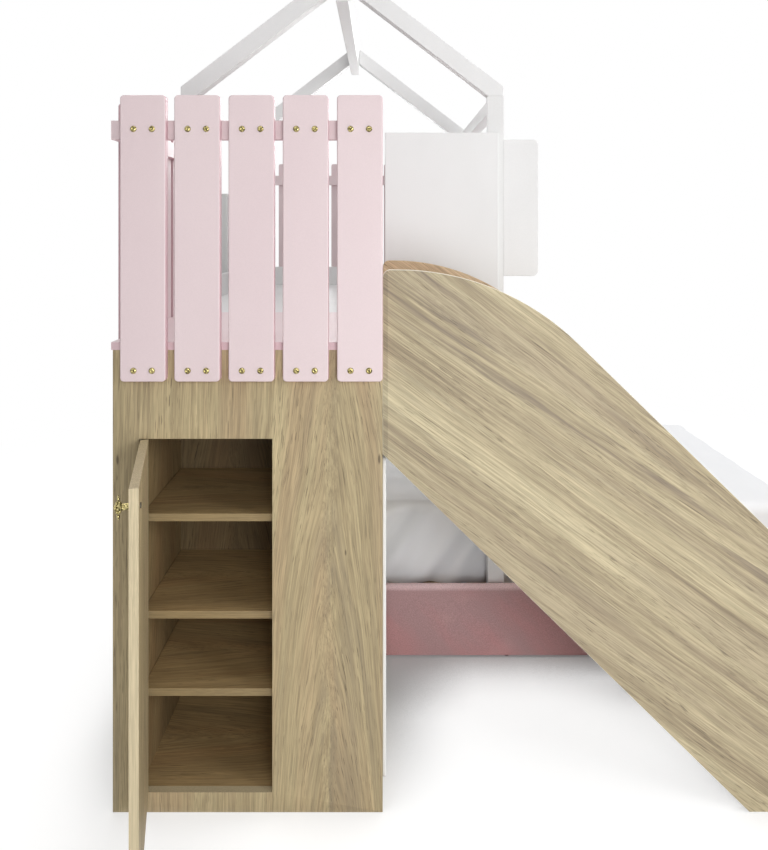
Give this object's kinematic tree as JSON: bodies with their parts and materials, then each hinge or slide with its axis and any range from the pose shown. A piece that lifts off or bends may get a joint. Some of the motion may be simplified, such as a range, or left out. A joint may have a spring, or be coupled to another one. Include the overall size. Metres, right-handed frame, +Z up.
{
  "type": "playhouse bed",
  "caption": "Playhouse bed: wood-faced storage tower with a swinging door, picket-railed deck, slide, loft with an open roof frame and an upholstered bed beneath.",
  "frame": {"origin": "on the floor, at the middle of the whole footprint", "axes": "+X along the bed towards the foot of the slide, +Y from the tower's front to the back, +Z up"},
  "size_m": [2.147, 1.964, 2.1925],
  "materials": {
    "wood": "matt wood-grain laminate, grey-tan",
    "slide_wood": "matt wood-grain laminate, warmer tan",
    "pink_paint": "satin pale pink paint",
    "white_paint": "satin white paint",
    "bare_wood": "planed pale wood",
    "brass": "polished brass",
    "steel": "zinc plated",
    "velvet": "dusty rose velvet",
    "bedding": "white woven cotton",
    "glide_plastic": "moulded black"
  },
  "bodies": {
    "frame": {"bed_cover": "bedding", "bed_glides": "glide_plastic", "bed_ledgers": "bare_wood", "bed_rail_back": "velvet", "bed_rail_foot": "velvet", "bed_rail_front": "velvet", "bed_rail_head": "velvet", "bed_slats": "bare_wood", "cabinet_back": "wood", "cabinet_wall_left": "wood", "cabinet_wall_right": "wood", "deck": "pink_paint", "fence_rail_front": "pink_paint", "fence_rail_side": "pink_paint", "fence_screws": "brass", "front_picket_1": "pink_paint", "front_picket_2": "pink_paint", "front_picket_3": "pink_paint", "front_picket_4": "pink_paint", "front_picket_5": "pink_paint", "grip_board": "white_paint", "guard_front": "white_paint", "hinge_frame_leaves": "brass", "hinge_pins": "brass", "ladder_rungs": "white_paint", "ladder_stiles": "white_paint", "loft_beams_long": "white_paint", "loft_beams_side": "white_paint", "loft_curb_back": "white_paint", "loft_curbs_side": "white_paint", "loft_floor": "white_paint", "loft_pickets_back": "pink_paint", "loft_pickets_right": "pink_paint", "loft_posts": "white_paint", "loft_rail_back": "pink_paint", "loft_rail_right": "pink_paint", "mattress": "bedding", "roof_eaves": "white_paint", "roof_rafters": "white_paint", "roof_ridge": "white_paint", "shelf_lower": "wood", "shelf_middle": "wood", "shelf_pins": "steel", "shelf_upper": "wood", "side_board": "white_paint", "side_pickets": "pink_paint", "slide_chute": "white_paint", "slide_crossbars": "slide_wood", "slide_head_batten": "slide_wood", "slide_panel_far": "slide_wood", "slide_panel_near": "slide_wood", "tower_back": "wood", "tower_base": "wood", "tower_front": "wood", "tower_side_left": "wood", "tower_side_right": "wood"},
    "door": {"door_panel": "wood", "door_knob": "brass", "knob_screw": "steel", "hinge_door_leaves": "brass"}
  },
  "joints": [
    {"name": "door_hinge", "type": "hinge", "parent": "frame", "child": "door", "pos_m": [-0.94878, -0.68739, 0.456], "axis": [0, 0, -1], "range_deg": [-74, 96]}
  ]
}
